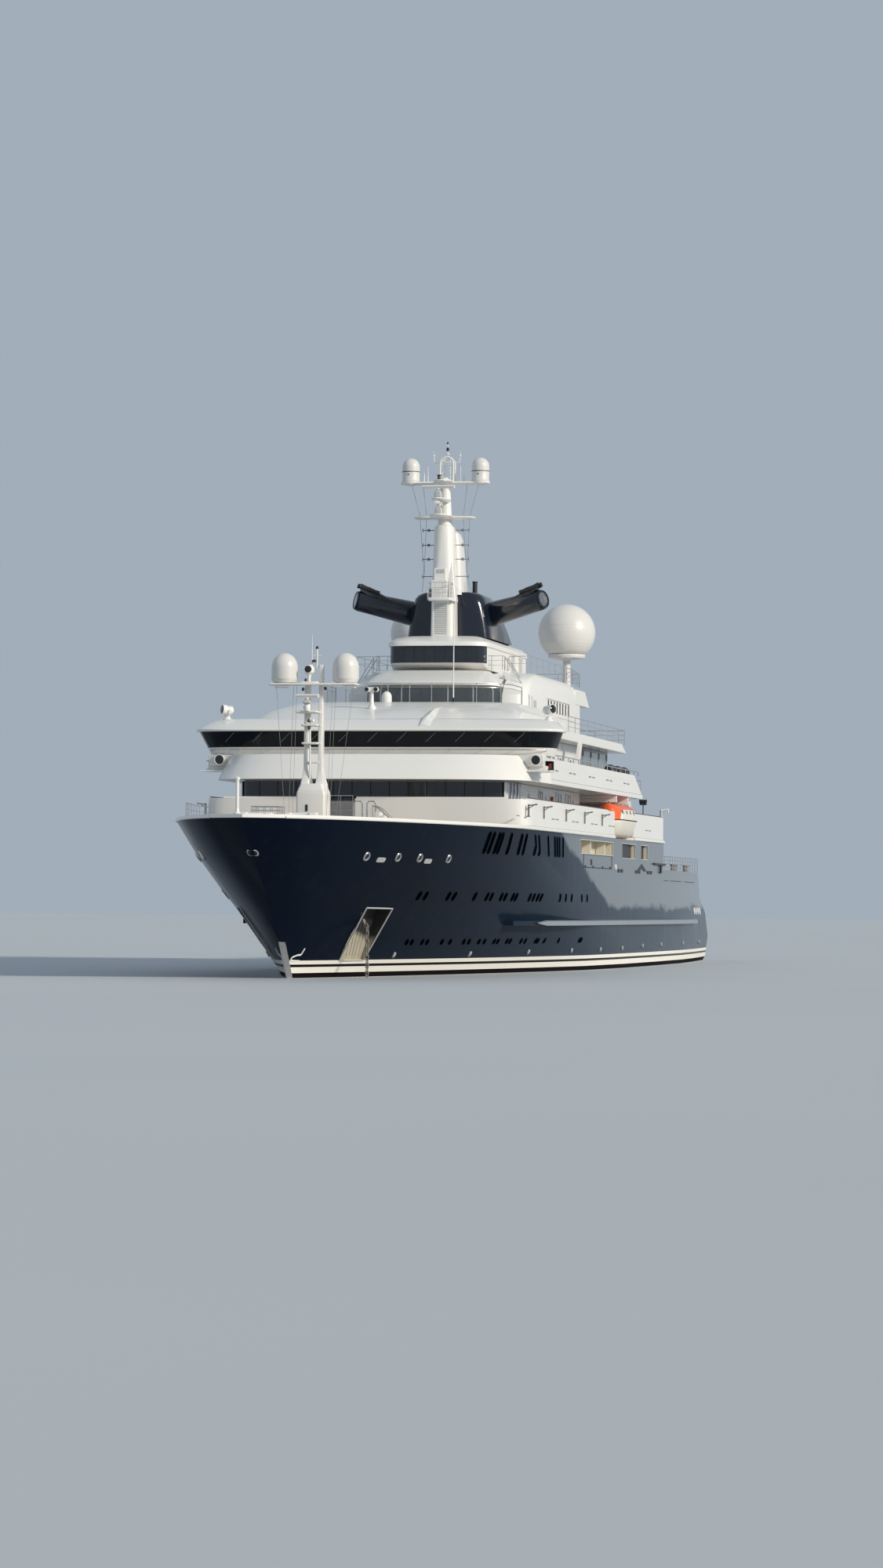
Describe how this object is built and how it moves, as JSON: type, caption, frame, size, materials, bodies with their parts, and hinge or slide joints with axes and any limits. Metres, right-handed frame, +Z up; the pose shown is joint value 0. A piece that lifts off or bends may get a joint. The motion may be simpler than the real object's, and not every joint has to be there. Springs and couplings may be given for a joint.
{
  "type": "motor yacht, 1:10 scale model",
  "caption": "Long expedition motor yacht with stacked decks, overhanging wheelhouse wings, funnel with two arms, domed masts, stern platform, rudders, fins and propellers; 1:10 model.",
  "frame": {"origin": "on the centreline at the waterline, half way along the hull", "axes": "+X forward to the bow, +Y to port, +Z up"},
  "size_m": [12.665, 2.42, 4.225],
  "materials": {
    "navy": "high gloss dark blue paint",
    "white": "gloss white paint",
    "glass": "dark tinted glass",
    "steel": "brushed stainless steel",
    "bronze": "machined bronze",
    "orange": "orange and white moulded hull",
    "grey": "satin grey paint"
  },
  "bodies": {
    "ship": {"anchor_port": "grey", "anchor_stbd": "grey", "brow_two": "white", "bulwark_aft_port": "white", "bulwark_aft_stbd": "white", "bulwark_one_port": "white", "bulwark_one_stbd": "white", "bulwark_two_port": "white", "bulwark_two_stbd": "white", "canopy": "white", "davit_port": "white", "davit_stbd": "white", "deck_four": "white", "deck_two": "white", "foremast": "white", "funnel": "navy", "house_one": "white", "house_two": "white", "hull": "navy", "jackstaff": "steel", "lounge_glass": "glass", "lounge_house": "white", "lounge_roof": "white", "lounge_two": "glass", "main_deck": "white", "main_mast": "white", "sat_dome_port": "white", "sat_dome_stbd": "white", "stem_guard": "steel", "sun_bar": "glass", "sun_cowl": "white", "sun_house": "white", "sun_screen": "glass", "wheelhouse_bulkhead": "white", "wheelhouse_console": "grey", "wheelhouse_glass": "glass", "wheelhouse_posts": "grey", "wheelhouse_roof": "white", "wheelhouse_wall": "white", "windlass": "grey", "window_band_one": "glass", "wing_box_port": "white", "wing_box_stbd": "white"},
    "propeller_port": {"propeller_port": "bronze"},
    "propeller_stbd": {"propeller_stbd": "bronze"},
    "rudder_port": {"rudder_port": "navy"},
    "rudder_stbd": {"rudder_stbd": "navy"},
    "fin_port": {"fin_port": "navy"},
    "fin_stbd": {"fin_stbd": "navy"},
    "radar_upper": {"radar_upper": "white"},
    "radar_lower": {"radar_lower": "white"},
    "radar_fore": {"radar_fore": "white"},
    "side_door_port": {"side_door_port": "navy"},
    "side_door_stbd": {"side_door_stbd": "navy"},
    "crane_port": {"crane_port": "white"},
    "crane_stbd": {"crane_stbd": "white"},
    "lifeboat_port": {"lifeboat_port": "orange", "davit_arm_port": "white"},
    "lifeboat_stbd": {"lifeboat_stbd": "orange", "davit_arm_stbd": "white"}
  },
  "joints": [
    {"name": "propeller_port_spin", "type": "hinge", "parent": "ship", "child": "propeller_port", "pos_m": [-5.2, 0.42, -0.4], "axis": [1, 0, 0], "continuous": true},
    {"name": "rudder_port_steer", "type": "hinge", "parent": "ship", "child": "rudder_port", "pos_m": [-5.54, 0.42, -0.35], "axis": [0, 0, 1], "range_deg": [-35, 35]},
    {"name": "fin_port_tilt", "type": "hinge", "parent": "ship", "child": "fin_port", "pos_m": [-0.6, 0.9033, -0.45], "axis": [0, 0.5851, -0.811], "range_deg": [-20, 20]},
    {"name": "side_door_port_fold", "type": "hinge", "parent": "ship", "child": "side_door_port", "pos_m": [0.52, 1.05, 0.7], "axis": [1, 0, 0], "range_deg": [-90, 0]},
    {"name": "crane_port_slew", "type": "hinge", "parent": "ship", "child": "crane_port", "pos_m": [-2.49, 1.034, 1.11], "axis": [0, 0, 1], "range_deg": [-90, 90]},
    {"name": "lifeboat_port_out", "type": "slide", "parent": "ship", "child": "lifeboat_port", "axis": [0, 1, 0], "range_m": [0, 0.24]},
    {"name": "propeller_stbd_spin", "type": "hinge", "parent": "ship", "child": "propeller_stbd", "pos_m": [-5.2, -0.42, -0.4], "axis": [1, 0, 0], "continuous": true},
    {"name": "rudder_stbd_steer", "type": "hinge", "parent": "ship", "child": "rudder_stbd", "pos_m": [-5.54, -0.42, -0.35], "axis": [0, 0, 1], "range_deg": [-35, 35]},
    {"name": "fin_stbd_tilt", "type": "hinge", "parent": "ship", "child": "fin_stbd", "pos_m": [-0.6, -0.9033, -0.45], "axis": [0, -0.5851, -0.811], "range_deg": [-20, 20]},
    {"name": "side_door_stbd_fold", "type": "hinge", "parent": "ship", "child": "side_door_stbd", "pos_m": [0.52, -1.05, 0.7], "axis": [1, 0, 0], "range_deg": [0, 90]},
    {"name": "crane_stbd_slew", "type": "hinge", "parent": "ship", "child": "crane_stbd", "pos_m": [-2.49, -1.034, 1.11], "axis": [0, 0, 1], "range_deg": [-90, 90]},
    {"name": "lifeboat_stbd_out", "type": "slide", "parent": "ship", "child": "lifeboat_stbd", "axis": [0, -1, 0], "range_m": [0, 0.24]},
    {"name": "radar_upper_spin", "type": "hinge", "parent": "ship", "child": "radar_upper", "pos_m": [0.99, 0, 3.3], "axis": [0, 0, 1], "continuous": true},
    {"name": "radar_lower_spin", "type": "hinge", "parent": "ship", "child": "radar_lower", "pos_m": [0.97, 0, 3.19], "axis": [0, 0, 1], "continuous": true},
    {"name": "radar_fore_spin", "type": "hinge", "parent": "ship", "child": "radar_fore", "pos_m": [4.765, -0.02, 1.68], "axis": [0, 0, 1], "continuous": true}
  ]
}
